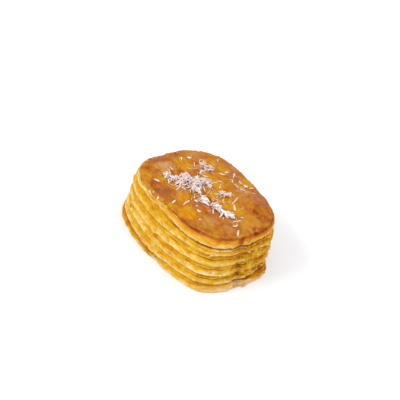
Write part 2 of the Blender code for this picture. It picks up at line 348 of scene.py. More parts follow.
# The oven's own relief on every crust: puffs and pores, pushed along the surface where it shows.
nodes, given = new_tree("baked_relief", {
    "Puff height": 0.0003, "Puff size": 0.0018, "Pore depth": 0.00022, "Pore size": 0.0007})
place = nodes.add("GeometryNodeInputPosition")
puff = nodes.noise(place, nodes.math("DIVIDE", 1, given["Puff size"]), 1)
pore = nodes.noise(place, nodes.math("DIVIDE", 1, given["Pore size"]), 2)
rise = nodes.times(nodes.math("SUBTRACT", puff, 0.5), given["Puff height"])
rise = nodes.times(nodes.math("SUBTRACT", pore, 0.5), given["Pore depth"], rise)
rise = nodes.times(rise, nodes.times(nodes.carried("shows", "FLOAT"), 2))
push = nodes.add("ShaderNodeVectorMath", {
    0: nodes.add("GeometryNodeInputNormal"), "Scale": rise}, operation="SCALE")
moved = nodes.add("GeometryNodeSetPosition", {"Geometry": given["Geometry"], "Offset": push})
baked_relief = end_tree(nodes, given, moved)

# A leaf's section from its seat, along its underside, to its lip: (out, up) in mm from the gap.
UNDERSIDE = ((-6, 1.1), (-3, 1.1), (-2.2, 1.05), (-1.6, 0.9), (-1, 0.7), (-0.5, 0.45), (-0.05, 0.25),
             (0.22, 0.22), (0.38, 0.42))
FLAT_UNDERSIDE = ((-6, 0), (-3, 0), (-2, 0), (-1.4, 0), (-0.9, 0), (-0.5, 0.02), (-0.15, 0.1),
                  (0.1, 0.25), (0.25, 0.45))
CLIMB_STEPS = 44  # from the lip up to the next gap
LIP_SHARE, LIP_FLARE, GAP_DEPTH = 0.12, 0.42 * MM, 1.5 * MM
SEATS = ((-2.3 * MM, 0.55 * MM), (-6 * MM, 0.8 * MM))  # under the leaf above: out, up

SHEET_THICKNESS, PARTING_SHADE = 1.45 * MM, 1.5  # one puffed sheet, and the painted shade on the line under it
# How far sheets and crumbs stand out, on the smooth flank and on the torn end wall.
SHEET_DEPTHS, SHEET_REACHES = (0.40 * MM, 0.50 * MM), (0.16 * MM, 0.40 * MM)
CRUMB_DEPTHS = (0.09 * MM, 0.38 * MM)

PLY_SHARES = (0.35, 1, 1, 1, 0.7)  # how clearly each leaf splits in two along its middle
PLY_CLIMB, PLY_HALF_HEIGHT, PLY_DEPTH = 0.47, 0.045, 0.55 * MM
PLY_SIDE, PLY_ELSEWHERE = around(-30, 32), 0.42
NOTCH_ANGLE = radians(-79)  # the base leaf is folded under and torn off here
BROWNED_BASE, PALE_BASE, PALE_LEVEL = around(-115, 45), around(5, 25), 0.125
TAG, PINK = around(-2.5, 0.8), around(-19, 11)  # a torn point, and a raw stripe
CRACK, CRACK_DEPTH = around(-36, 25), 1.6 * MM  # the lid lifted off the fifth leaf here


def sheets(at, rise, torn):
    """The thin sheets in a leaf: how far one stands out, the painted shade of its cleft, and its tint.
    """
    phase = rise / SHEET_THICKNESS + 1.2 * at(9, 80) + (0.22 + 0.2 * torn) * at(2.6, 85)
    number = phase // 1
    across, own = phase - number, 7.7 * number
    nose = smooth_step(across / 0.2) * (1 - 0.85 * across ** 1.3)
    open_share = clamp(0.45 + 0.35 * torn + 1.2 * at(4.5, own + 5, rise * 0.5))
    out = blend(*SHEET_DEPTHS, torn) * open_share * (nose - 0.6)
    out += blend(*SHEET_REACHES, torn) * at(3.4, own) * nose
    parting = open_share * max(0, 1 - across / 0.16)
    return out, 0.8 * (1 - nose) * open_share + PARTING_SHADE * parting, at(7, own + 3)


def ply(at, angle, leaf, climb):
    """The split along a leaf's middle: how open it is, and how far the half above hangs over it."""
    wander = PLY_CLIMB + 0.07 * at(8, 95)
    clear = PLY_ELSEWHERE + (1 - PLY_ELSEWHERE) * bump(angle, *PLY_SIDE)
    clear *= PLY_SHARES[leaf] * clamp(0.75 + 1.3 * at(6, 97))
    return clear * bump(climb, wander, PLY_HALF_HEIGHT), clear * bump(climb, wander + 0.12, 0.07)


def leaf_column(angle, leaf):
    """One section of a leaf at this angle: its points with their shares of toast and painted light,
    shows, and flour and painted highlight.
    """
    low, high = gap_level(leaf, angle), gap_level(leaf + 1, angle)
    seed, torn = LAYER_SEEDS[leaf], torn_share(angle)
    at = column_grain(angle, (low + high) / 2, seed)
    fray, nick, sag = at(2.4, 40), at(1, 50), at(5.5, 60)
    tint, paleness = at(9, 70), at(4, 75)
    column = []

    def put(level, out, up, toast_and_painted_light, shown, floury_and_highlight=0):
        column.append((wall_point(angle, level, out, up, seed, shown), toast_and_painted_light, shown, floury_and_highlight))

    pale_base = browned_base = fold = 0
    if leaf == 0:
        pale_base = bump(angle, *PALE_BASE)
        browned_base = smooth_step((NOTCH_ANGLE - angle) / 0.02) * bump(angle, *BROWNED_BASE)
        fold = (0.45 * browned_base - 0.35 * bump(angle, NOTCH_ANGLE + 0.08, 0.09)) * MM
    beyond = smooth_step((degrees(angle) - 5) / 12)  # past the pale base's widest part
    lip_out = (0.22 + 0.22 * torn) * fray * MM + (0.14 + 0.16 * torn) * nick * MM
    lip_out += pale_base * (0.30 * fray + 0.34 * nick + 0.8 * bump(angle, *TAG) - 0.45 * beyond) * MM
    lip_up = -(0.05 + 0.26 * sag + (0.16 + 0.2 * torn) * fray + 0.13 * nick) * MM
    # The underside darkens deeper under the leaf above: painted shade.
    for out, up in UNDERSIDE if leaf else FLAT_UNDERSIDE:
        share = smooth_step((out + 2.2) / 2.4)
        reach = lip_out + fold + LAYER_REACH[leaf] * 0.31 - set_back(angle, low)
        put(low, out * MM + share * reach, up * MM + share * lip_up * (1 if leaf else 0.3),
            0.92 - 0.5 * share - 0.3 * pale_base * share, (0.25 if leaf else 0.1) * share,
            0.9 * pale_base * share)
    thickness = (high - low) * RIM_HEIGHT
    for index in range(CLIMB_STEPS):
        climb = index / (CLIMB_STEPS - 1)
        step = blend(LIP_SHARE, 1, climb)
        level, rise = blend(low, high, step), step * thickness
        sheet, cleft_shade, own_tint = sheets(at, rise, torn)
        split, overhang = ply(at, angle, leaf, climb)
        lipped = 1 - smooth_step(climb / 0.3)
        crack = smooth_step((climb - 0.68) / 0.12) * bump(angle, *CRACK) * (leaf == 4)
        shape, crumb = at(3.2, 90, 1.6 * rise), at(1.3, 0, 1.3 * rise)
        lump, flake = at(3.1, 13, 3.1 / 2.4 * rise), abs(at(1.9, 9, 3.8 * rise))
        spot = max(0, at(4, 5, 1.6 * rise) - 0.22)
        out = LIP_FLARE - (GAP_DEPTH + LIP_FLARE) * climb ** 1.3 + lip_out * lipped + fold
        out += LAYER_REACH[leaf] * sin(pi * min(max(step, 0.1), 0.9)) - set_back(angle, level)
        out += sheet * (1 - 0.7 * lipped) + blend(*CRUMB_DEPTHS, torn) * crumb * (1 - 0.6 * lipped)
        out += (0.12 * shape + 0.12 * flake + 0.45 * torn * lump + 0.22 * overhang) * MM
        out -= PLY_DEPTH * split + CRACK_DEPTH * crack
        # Browning, spots and tint are the dough's own; painted light is added to them as well.
        # Painted shade darkens the leaf's top under the next lip, its clefts, the split, the crack,
        # the crease and the hollow; a painted highlight lightens the lip and what stands out.
        toast_and_painted_light = 0.41 + 0.08 * smooth_step((climb - 0.3) / 0.5)
        toast_and_painted_light += 0.30 * smooth_step((climb - 0.88) / 0.12)
        toast_and_painted_light -= (0.22 + 0.24 * paleness + 0.10 * nick) * (1 - 0.5 * torn) * bump(climb, 0.06, 0.20)
        toast_and_painted_light += 0.11 * tint + 0.13 * own_tint + 0.09 * shape + (0.17 + 0.16 * torn) * cleft_shade
        toast_and_painted_light += 0.07 * torn - (0.05 + 0.13 * torn) * crumb + 0.22 * spot - 0.12 * flake
        toast_and_painted_light += 0.5 * crack - 0.12 * torn * lump + 0.34 * split - 0.13 * overhang * (1 + nick)
        toast_and_painted_light += 0.20 * bump(angle, blend(*CREASE_ANGLES, level), 0.045)
        toast_and_painted_light += 0.36 * bump(angle, *HOLLOW) * bump(level, HOLLOW_LEVEL, 0.07)
        toast_and_painted_light += browned_base * (0.10 + 0.16 * climb)
        pale_top = PALE_LEVEL - 0.055 * beyond + 0.02 * fray + 0.015 * crumb
        low_down = smooth_step((pale_top - level) / 0.03)
        toast_and_painted_light += pale_base * (0.07 * (1 - low_down) * torn - 0.18 * low_down)
        floury_and_highlight = pale_base * low_down * clamp(0.8 + 0.9 * crumb + 0.6 * fray)
        # The pale band along each lip is partly a painted highlight.
        floury_and_highlight += max(0, 0.15 + paleness + 0.5 * nick) * bump(climb, 0.03, 0.13) * (1 - 0.4 * torn)
        if leaf == 0:
            floury_and_highlight += 0.9 * bump(angle, NOTCH_ANGLE + 0.03, 0.035) * (1 - climb)
        if leaf == 4:
            floury_and_highlight += bump(angle, *PINK) * bump(climb, 0.62, 0.14) * max(0, 0.7 + 1.6 * crumb)
        put(level, out, lip_up * lipped * (1 - climb), toast_and_painted_light,
            1 - smooth_step((climb - 0.85) / 0.15) * 0.7, clamp(floury_and_highlight))
    # The seats under the leaf above are painted dark as shade.
    for out, up in SEATS:
        put(high, out, up, 0.95, 0)
    return column


def ring_faces(lower, upper):
    """Faces between two rings of corner numbers; the upper ring has as many corners, or half."""
    faces, count = [], len(upper)
    for index in range(count):
        following = (index + 1) % count
        if len(lower) == count:
            faces.append((lower[index], lower[following], upper[following], upper[index]))
        else:
            left, middle, right = lower[2 * index], lower[2 * index + 1], lower[2 * following]
            faces += [(left, middle, upper[index]), (middle, upper[following], upper[index]),
                      (middle, right, upper[following])]
    return faces


def stacked_piece(name, rings, material, ends):
    """A closed piece from rings of points with their shares. The ends name the shares, and give
    those of the two corners in the middle of its bottom and top."""
    corners, faces, numbers = [], [], []
    for ring in rings:
        numbers.append(list(range(len(corners), len(corners) + len(ring))))
        corners += [point[0] for point in ring]
    for lower, upper in zip(numbers, numbers[1:]):
        faces += ring_faces(lower, upper)
    for rim, turned in ((numbers[0], True), (numbers[-1], False)):
        middle = len(corners)
        corners.append(tuple(sum(corners[at][axis] for at in rim) / len(rim) for axis in range(3)))
        for first, second in zip(rim, rim[1:] + rim[:1]):
            faces.append((second, first, middle) if turned else (first, second, middle))
    shares = {label: [point[at] for ring in rings for point in ring] + [end, end]
              for at, (label, end) in enumerate(ends.items(), 1)}
    return new_piece(name, corners, faces, material, shares)


LEAF_NAMES = ("base_leaf", "second_leaf", "third_leaf", "fourth_leaf", "fifth_leaf")
leaf_dough = dough_material("baked_leaf", LEAF_COLOURS, 0, 0.08, 0.52, 0.38)
lips = []  # the lip of each leaf, for the flakes that hang on it
for leaf, name in enumerate(LEAF_NAMES):
    rings = list(zip(*(leaf_column(angle, leaf) for angle in ANGLES)))
    lips.append([point[0] for point in rings[len(UNDERSIDE) + 2]])
    piece = stacked_piece(name, rings, leaf_dough, {"toast_and_painted_light": 0.9, "shows": 0, "floury_and_highlight": 0})
    grow(piece, baked_relief, {"Crust": leaf_dough})
    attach(piece, "root")
    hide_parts("butter_roll")


# ---- Lid -------------------------------------------------
# The top leaf, brushed with egg and syrup before it was baked: a gently domed crust that blistered
# brown between pools of yellow syrup, with a slit along the middle. It baked onto the fifth leaf.

LID_SIDE_STEPS, RIM_ROUNDING = 20, 0.8 * MM
CRUST_ZONES = ((1, 0.5, 56, 1), (0.491, 0.25, 26, 2), (0.24, 0.11, 14, 4), (0.10, 0.015, 9, 8))
DOME_HEIGHT, BUBBLE_HEIGHT, BUBBLE_GRAIN, BUBBLE_SEED = 2.4 * MM, 0.55 * MM, 11 * MM, 37.6
BLISTERS = (  # x, y from the lid's middle, radius, height, in mm
    (-7.5, -21.5, 7.5, 1.2), (14, -16, 7, 0.8), (17, 19, 8, 0.8), (-27, -9.6, 6.5, 1.2),
    (-24, 12, 7, 0.6), (29, -11, 7, 0.5), (2, -21, 6, -0.7), (-24, 2, 5, -0.8), (16, 5, 9, -0.7),
    (5, -4, 4, -0.8), (17.2, 13.6, 4.4, -1.5),
)
SLIT_FROM, SLIT_TO, SLIT_HALF_WIDTH, SLIT_DEPTH = (3.5, -5.2), (9.8, -4.4), 0.95, 2.2 * MM
BARE_RIM, PALE_SIDE = around(-116, 38), around(-140, 20)  # the brush missed these
DRIP = around(-8.5, 2)  # glaze ran over the rim here
TOP_COLOURS = (
    (0.00, paint(206, 168, 108)), (0.22, paint(190, 144, 62)), (0.40, paint(180, 120, 28)),
    (0.56, paint(168, 94, 14)), (0.72, paint(146, 70, 8)), (0.88, paint(114, 48, 4)),
    (1.00, paint(76, 32, 4)),
)
SIDE_COLOURS = (  # the lid's side turns orange where the glaze ran thin over it
    (0.00, paint(238, 216, 180)), (0.18, paint(232, 200, 124)), (0.36, paint(222, 178, 62)),
    (0.52, paint(216, 150, 26)), (0.68, paint(208, 118, 10)), (0.82, paint(156, 76, 8)),
    (1.00, paint(90, 42, 10)),
)
# The painted sheen colour stands for the glaze reflecting the bright room: a painted reflection.
SYRUP_COLOUR, AMBER_COLOUR, PAINTED_SHEEN_COLOUR = paint(200, 149, 4), paint(200, 124, 4), paint(188, 132, 96)
SWIRLS, SHORES = 170, 420  # grains in a metre
MOTTLES = (  # x, y, half length, half width, turn, browner, syrup, painted sheen
    # Where browner is below 0 beside a painted sheen, the lighter crust is part of a painted
    # highlight.
    (-27, -9.6, 5.2, 4.6, 0, -0.24, 0, 0.8), (-35.5, -8, 3, 7, 5, 0.22, 0, 0.4),
    (-37, 4, 2.5, 5, 0, 0.18, 0, 0.4), (-33.5, 17, 5, 4, 40, -0.08, 0.15, 0.5),
    (-30, 11.5, 4, 3.5, 0, -0.08, 0.25, 0.35), (-20.5, 17, 5, 3.6, -15, 0.02, 1, 0),
    (-12, 19.5, 5, 2.8, -8, 0.04, 0.8, 0), (-23, 1.2, 4.6, 4.2, 0, 0.02, 1, 0),
    (-29, 3, 4, 4.5, 0, 0.04, 0.75, 0.2), (-17, -4, 3, 3.5, 0, 0.25, 0.2, 0),
    (-16, 3, 3.2, 3, 0, 0.14, 0.3, 0), (-24.5, -23, 5.5, 2.2, -28, -0.06, 0.7, 0),
    (-23.5, -15.2, 4, 2.4, 0, -0.02, 0.2, 0.2), (-30, -20, 4.5, 3, -35, 0.22, 0, 0),
    (-17, -17.6, 3.2, 1.8, 0, 0.05, 0.85, 0), (-7, -22.4, 7.2, 4.6, -5, 0.16, 0, 0.2),
    (-13, -25.5, 5, 2.2, -10, 0.12, 0, 0), (2.4, -15.8, 3.8, 3.2, 0, 0.12, 0.9, 0),
    (-2.6, -14.8, 3, 3, 0, -0.10, 0.3, 0.5), (10.8, -14.6, 3.4, 2.7, 0, 0.17, 0, 0.4),
    (13.5, -21, 5.6, 4.2, 0, 0, 1, 0), (4, -24.4, 4.6, 2.4, -8, 0.10, 0.8, 0),
    (22.6, -21.6, 4.4, 4.2, -10, 0.03, 0, 0.15), (25, -13.6, 3.6, 2.6, 0, -0.10, 0, 0.6),
    (31, -17, 3.6, 3, 30, 0.10, 0.3, 0), (16, -9.5, 8.5, 2.6, 5, 0.05, 0, 0.55),
    (9, -11.5, 3.2, 2.2, 0, 0.10, 0, 0.4), (34, -8, 4, 3, 0, 0.04, 0.1, 0.5),
    (29.2, -3.8, 3.6, 2.6, 0, -0.08, 0, 0.45), (19, 2.8, 7.4, 4.6, 8, -0.04, 1, 0),
    (14, 2, 6.5, 3.4, 8, 0, 1, 0), (-4, 7.5, 8.8, 4.4, 10, 0.06, 1, 0),
    (-6, 13, 6, 3, 8, 0, 0.65, 0), (3, 12.5, 4, 2.4, 0, 0.04, 0.5, 0),
    (6, -0.5, 4.8, 3, 8, 0.04, 1, 0), (9.5, 17.5, 4, 3.4, 0, -0.12, 0, 0.6),
    (10.8, 8.4, 3.6, 3.4, 0, -0.12, 0.75, 0), (13, 12.2, 3.4, 3, 0, -0.16, 0.2, 0.2),
    # The browner crescent at (21.4, 14.4) is painted shade in the hollow at (17.2, 13.6).
    (16.6, 12.6, 3.4, 2.8, 0, 0.02, 0.4, 0), (21.4, 14.4, 3.2, 1.8, 68, 0.46, 0, 0),
    (17.5, 21.8, 5.5, 4.6, -15, 0.26, 0, 0.6), (27.5, 14, 5.6, 3.2, -15, 0.13, 0, 0),
    (21.5, 13.5, 3.4, 3.2, 0, 0, 0.7, 0), (33, 18, 6, 2.6, -38, 0.20, 0, 0),
    (40, 6, 2, 6, 5, 0.22, 0, 0), (32, 6.5, 4.6, 4.2, 0, -0.14, 0.45, 0.1),
    (35, 1.5, 3.6, 3.4, 0, -0.08, 0.5, 0.2), (2.5, 25, 3.6, 5, -5, -0.02, 1, 0),
    (-4, 22, 5, 2.6, -10, 0.20, 0, 0.5), (-12, 25, 5.5, 2.4, -14, 0.02, 0, 0.7),
    (-18, 21.5, 4, 3, -10, -0.04, 0.3, 0.2), (38, -14, 2.5, 4, 10, 0.10, 0.1, 0.2),
    (25.5, 13.8, 2.6, 0.8, -50, 0.18, 0, 0), (30.2, 12.2, 1.8, 0.7, -20, 0.16, 0, 0),
    (33.9, 11.4, 1.6, 0.8, 10, 0.18, 0, 0), (29, -19.4, 2.4, 0.9, 35, 0.16, 0, 0),
    (2.2, -17.2, 2.2, 1.2, 0, 0.16, 0, 0), (-1.5, 12.5, 3, 1, -20, 0.16, 0, 0),
)
MOTTLE_REACH = 22  # no mottle shows beyond this, in mm


def mottle(x, y):
    """How much browner and more syrupy the crust is here, and how much painted sheen lies on it,
    in metres from the lid's middle.
    """
    browner = syrup = painted_sheen = 0
    for at_x, at_y, half_length, half_width, turn, brown_share, syrup_share, sheen_share in MOTTLES:
        away_x, away_y = x / MM - at_x, y / MM - at_y
        if abs(away_x) + abs(away_y) > MOTTLE_REACH:
            continue
        cosine, sine = cos(radians(turn)), sin(radians(turn))
        along = (away_x * cosine + away_y * sine) / half_length
        across = (away_y * cosine - away_x * sine) / half_width
        near = exp(-(along * along + across * across) ** 2.4 * 0.75)
        browner += brown_share * near
        syrup = max(syrup, syrup_share * near)
        painted_sheen = max(painted_sheen, sheen_share * near)
    return browner, syrup, painted_sheen


def slit_share(x, y):
    """1 in the middle of the slit, falling to 0 beside it."""
    run = Vector(SLIT_TO) - Vector(SLIT_FROM)
    away = Vector((x / MM, y / MM)) - Vector(SLIT_FROM)
    share = clamp(away.dot(run) / run.length_squared)
    width = SLIT_HALF_WIDTH * (0.35 + 0.65 * sin(pi * min(max(share, 0.02), 0.98)))
    return exp(-((away - run * share).length / width) ** 2)


def crust_point(angle, share):
    """A point of the lid's crust (share 1 on the rim, 0 in the middle), with its shares."""
    edge = outline_radius(angle, 1) - RIM_ROUNDING
    x, y = cos(angle) * edge * share, sin(angle) * edge * share
    pimple, cloud = grain(x, y, 1.9 * MM, 61), grain(x, y, 7 * MM, 71)
    speck, swell = grain(x, y, 1.3 * MM, 111), grain(x, y, 5.2 * MM, 101)
    wrinkle = grain(x + 0.4 * y, y * 1.8, 4.2 * MM, 51)
    dapple = grain(x * 0.8 + y * 0.3, y * 1.3, 3.2 * MM, 81)
    ridge = (1 - min(1, 2.6 * abs(grain(x * 0.9 - y * 0.3, y * 1.4, 6 * MM, 91)))) ** 2
    near_cell = noise.voronoi((x / 5.2 / MM, y / 5.2 / MM, 3.3))[0]
    cell = 1 - min(1, near_cell[0] * 1.35) ** 2
    clouded = max(0, 0.5 + 1.2 * cloud)
    slit = slit_share(x, y)

    finer = 0.4 * grain(x, y, BUBBLE_GRAIN / 2.1, BUBBLE_SEED * 2.1)
    bubbles = BUBBLE_HEIGHT * (grain(x, y, BUBBLE_GRAIN, BUBBLE_SEED) + finer)
    for at_x, at_y, radius, height in BLISTERS:
        reach = hypot(x / MM - at_x, y / MM - at_y) / radius
        bubbles += height * MM * exp(-reach * reach * 2)
    height = rim_height(x, y) + rim_wave(x, y) * share ** 4 + RIM_ROUNDING * 0.5
    height += DOME_HEIGHT * (1 - share ** 2.2) + bubbles * (1 - 0.6 * share ** 6)
    height += (0.50 * swell + 0.34 * wrinkle + 0.18 * pimple * (0.6 + 0.8 * cloud) + 0.30 * ridge) * MM
    height += 0.30 * cell * clouded * MM - SLIT_DEPTH * slit

    warp_x = x + (2.6 * dapple + 1.1 * speck + 0.5 * pimple) * MM
    warp_y = y + (2.6 * wrinkle + 1.1 * pimple - 0.5 * speck) * MM
    browner, syrup, painted_sheen = mottle(warp_x, warp_y)
    toast_and_painted_light = 0.46 + browner + 0.10 * cloud + 0.09 * dapple - 0.06 * wrinkle + 0.08 * speck
    toast_and_painted_light += 0.10 * swell + 0.08 * pimple + 0.10 * (cell - 0.5) * clouded
    # Painted shade darkens the slit.
    toast_and_painted_light += 0.55 * slit + 0.12 * ridge * max(0, cloud + 0.4)
    rim_side = 0.5 + 0.5 * cos(angle + radians(10))  # the rim is darker at the end wall
    toast_and_painted_light += (0.30 * rim_side - 0.10 + 0.22 * cloud) * smooth_step((share - 0.986) / 0.010)
    toast_and_painted_light -= 0.10 * rim_side * bump(share, 0.965, 0.016)
    toast_and_painted_light -= (0.17 + 0.10 * dapple) * bump(angle, *BARE_RIM) * smooth_step((share - 0.91) / 0.07)
    syrup = clamp(syrup * (1 + 0.7 * dapple + 0.3 * speck))
    # Painted sheen, strongest on the raised swells, where a highlight falls.
    painted_sheen = clamp(painted_sheen * (1 + 0.6 * wrinkle) + 0.25 * max(0, swell))
    corner = (x + LID_LEAN.x, y + LID_LEAN.y, height)
    return corner, toast_and_painted_light, syrup * (1 - slit), painted_sheen * (1 - slit), 0, 1


def lid_side(angle):
    """The lid's side from its seat to its rim: points with toast and painted light, syrup, painted
    sheen, bare and shows.
    """
    low, seed, torn = gap_level(5, angle), LAYER_SEEDS[5], torn_share(angle)
    at = column_grain(angle, 0.94, seed)
    fray, nick, sag, tint = at(2.4, 40), at(1, 50), at(5.5, 60), at(9, 70)
    column = []

    def put(level, out, up, toast_and_painted_light, shown, bare):
        column.append((wall_point(angle, level, out, up, seed, shown), toast_and_painted_light, 0, 0, bare, shown))

    lip_out = (0.20 + 0.22 * torn) * fray * MM + (0.10 + 0.16 * torn) * nick * MM
    lip_up = -(0.10 + 0.30 * sag + (0.16 + 0.2 * torn) * fray + 0.08 * nick) * MM
    # The lid's underside darkens deeper in: painted shade.
    for out, up in UNDERSIDE:
        share = smooth_step((out + 2.2) / 2.4)
        put(low, out * MM + share * (lip_out - set_back(angle, low)), up * MM + share * lip_up,
            0.92 - 0.6 * share, 0.25 * share, 1)
    thickness, drip = (1 - low) * RIM_HEIGHT, bump(angle, *DRIP)
    for index in range(LID_SIDE_STEPS):
        climb = index / (LID_SIDE_STEPS - 1)
        step = blend(LIP_SHARE, 1, climb)
        level = blend(low, 1, step)
        sheet, cleft_shade, own_tint = sheets(at, step * thickness, torn)
        shape = at(3, 90, step * 6 * MM)
        lipped, fade = 1 - smooth_step(climb / 0.35), 1 - smooth_step((climb - 0.7) / 0.3)
        out = LIP_FLARE * (1 - climb ** 1.4) + lip_out * lipped + (0.12 * shape + 0.35 * drip) * MM
        out += sheet * fade * (1 - 0.7 * lipped) * 0.8
        out += LAYER_REACH[5] * sin(pi * min(max(step, 0.1), 0.9)) - set_back(angle, level)
        toast_and_painted_light = 0.36 + 0.10 * tint + 0.10 * shape + 0.06 * torn + 0.12 * own_tint + 0.22 * cleft_shade * fade
        toast_and_painted_light += (0.12 + 0.10 * cos(angle + 0.2)) * smooth_step((climb - 0.45) / 0.35)
        # A lighter foot: pale dry dough with a painted highlight.
        toast_and_painted_light += 0.30 * drip - 0.20 * bump(climb, 0, 0.22) - 0.12 * bump(angle, *PALE_SIDE)
        put(level, out, lip_up * lipped * (1 - climb), toast_and_painted_light, 1,
            1 - max(smooth_step((climb - 0.9) / 0.1), 0.8 * drip))
    return column


def syrup_glaze(nodes, place, colour):
    """A thin syrup glaze, mottled from ochre to brown, a painted sheen over the crust, and the bare
    side that the brush missed.
    """
    sheened = nodes.mix(nodes.times(nodes.share("painted_sheen"), 0.6), colour, PAINTED_SHEEN_COLOUR)
    swirl = nodes.mask(nodes.noise(place, SWIRLS, 2), 0.42, 0.58)
    honey = nodes.mix(swirl, SYRUP_COLOUR, AMBER_COLOUR)
    shore = nodes.times(nodes.noise(place, SHORES, 3), 0.6, -0.30)
    pool = nodes.mask(nodes.math("ADD", nodes.share("syrup"), shore), 0.22, 0.85, 0.88)
    dough = nodes.ramp(nodes.share("toast_and_painted_light"), SIDE_COLOURS)
    return nodes.mix(nodes.share("bare"), nodes.mix(pool, sheened, honey), dough)


glazed_crust = dough_material("glazed_crust", TOP_COLOURS, 0.12, 0.05, 0.40, 0.50, syrup_glaze)
columns = []
for angle in ANGLES:
    column = lid_side(angle)
    rim, first = column[-1], crust_point(angle, 1)
    for turn in (0.25, 0.5, 0.75):  # the rim's rounding
        place = Vector(rim[0]).lerp(Vector(first[0]), turn)
        place.z += sin(pi * turn) * 0.2 * MM
        column.append((tuple(place), blend(rim[1], first[1], turn), 0, 0, 0, 1))
    columns.append(column)
rings = list(zip(*columns))
lips += [[point[0] for point in rings[len(UNDERSIDE) + at]] for at in (2, LID_SIDE_STEPS - 2)]
for outer, inner, count, skipped in CRUST_ZONES:  # fewer corners a ring towards the middle
    for index in range(count):
        share = blend(outer, inner, index / (count - 1))
        rings.append([crust_point(angle, share) for angle in ANGLES[::skipped]])
lid = stacked_piece("lid", rings, glazed_crust, dict.fromkeys(
    ("toast_and_painted_light", "syrup", "painted_sheen", "bare", "shows"), 0.5))
grow(lid, baked_relief, {"Crust": glazed_crust, "Puff height": 0.00050, "Pore depth": 0.00016})
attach(lid, "root")
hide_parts("butter_roll")


# ---- Flakes ----------------------------------------------
# Slivers of the outermost sheets that lifted and curled when the roll was baked and cut. They are
# paper-thin dry dough, still joined to the lip that they peeled from.

FLAKE_BANDS = (  # lip, from, to in degrees, flakes; lip 6 is the lid's rim
    (6, -146, -84, 40), (6, -84, -60, 8), (5, -150, -96, 34), (5, -96, -12, 14), (5, -5, 60, 10),
    (5, 60, 210, 24), (4, -150, -10, 22), (4, -10, 60, 12), (4, 60, 210, 20), (3, -150, -10, 18),
    (3, -10, 60, 12), (3, 60, 210, 18), (2, -150, -10, 18), (2, -10, 60, 12), (2, 60, 210, 18),
    (1, -150, -10, 16), (1, -10, 60, 12), (1, 60, 210, 16), (0, -150, -10, 10), (0, -10, 60, 12),
    (0, 60, 210, 12), (0, -6, 0, 4), (1, -6, 0, 5), (2, -8, -1, 6), (3, -9, -2, 6),
    (4, -11, -4, 4), (0, -82, -76, 4),
)
FLAKE_LENGTHS, FLAKE_WIDTHS, FLAKE_SINK = (1.8 * MM, 4.6 * MM), (0.9 * MM, 1.9 * MM), 0.32 * MM
FLAKE_SEED, FLAKE_LOWEST, RIM_FLAKES_LOWER = 5, 1.25 * MM, 0.6 * MM
flake_dough = dough_material("dry_flake", LEAF_COLOURS, 0, 0.10, 0.60, 0.15)


def planted(nodes, given, shape, picking):
    """The shape on each corner of a cloud, turned and sized as the corner says, then pulled about
    by a fine 3-D noise, so that no two are alike."""
    turn = nodes.add("FunctionNodeEulerToRotation", {0: nodes.carried("turn", "FLOAT_VECTOR")})
    spread = nodes.add("GeometryNodeInstanceOnPoints", {
        "Points": given["Geometry"], "Instance": shape, "Rotation": turn,
        "Scale": nodes.carried("size", "FLOAT_VECTOR"), **picking})
    real = nodes.add("GeometryNodeRealizeInstances", {"Geometry": spread})
    way = nodes.new("ShaderNodeTexNoise", {
        "Vector": nodes.add("GeometryNodeInputPosition"), "Scale": given["Rag grain"],
        "Detail": 1}).outputs[1]
    way = nodes.add("ShaderNodeVectorMath", {0: way, 1: (0.5, 0.5, 0.5)}, operation="SUBTRACT")
    way = nodes.add("ShaderNodeVectorMath", {0: way, "Scale": given["Rag size"]}, operation="SCALE")
    return nodes.add("GeometryNodeSetPosition", {"Geometry": real, "Offset": way})


def unit_bar(nodes, steps):
    """A bar one across each way, with the x, y and z of its corners and its x squared."""
    bar = nodes.add("GeometryNodeMeshCube", {
        "Size": (1, 1, 1), "Vertices X": steps, "Vertices Y": 3, "Vertices Z": 2})
    x, y, z = nodes.new("ShaderNodeSeparateXYZ", {0: nodes.add("GeometryNodeInputPosition")}).outputs
    return bar, x, y, z, nodes.times(x, x)


nodes, given = new_tree("peeled_flakes", {
    "Thickness": 0.16, "Curl": 0.22, "Rag grain": 900, "Rag size": 0.0011})
slab, x, y, z, squared = unit_bar(nodes, 7)
lift = nodes.times(y, 0.25, nodes.times(squared, given["Curl"]))
taper = nodes.math("SUBTRACT", 1, nodes.times(squared, 2.4))
shaped = nodes.add("ShaderNodeCombineXYZ", {
    0: x, 1: nodes.times(y, taper), 2: nodes.times(z, given["Thickness"], lift)})
sliver = nodes.add("GeometryNodeSetPosition", {"Geometry": slab, "Position": shaped})
peeled_flakes = end_tree(nodes, given, planted(nodes, given, sliver, {}))


def scatter(name, places, material):
    """A cloud of corners that a tree grows its shapes on: the place, turn, size and tone of each."""
    cloud = new_piece(name, [item[0] for item in places], [], material,
                      {"toast_and_painted_light": [item[3] for item in places]})
    for label, at in (("turn", 1), ("size", 2)):
        flat = [number for item in places for number in item[at]]
        cloud.data.attributes.new(label, "FLOAT_VECTOR", "POINT").data.foreach_set("vector", flat)
    return cloud


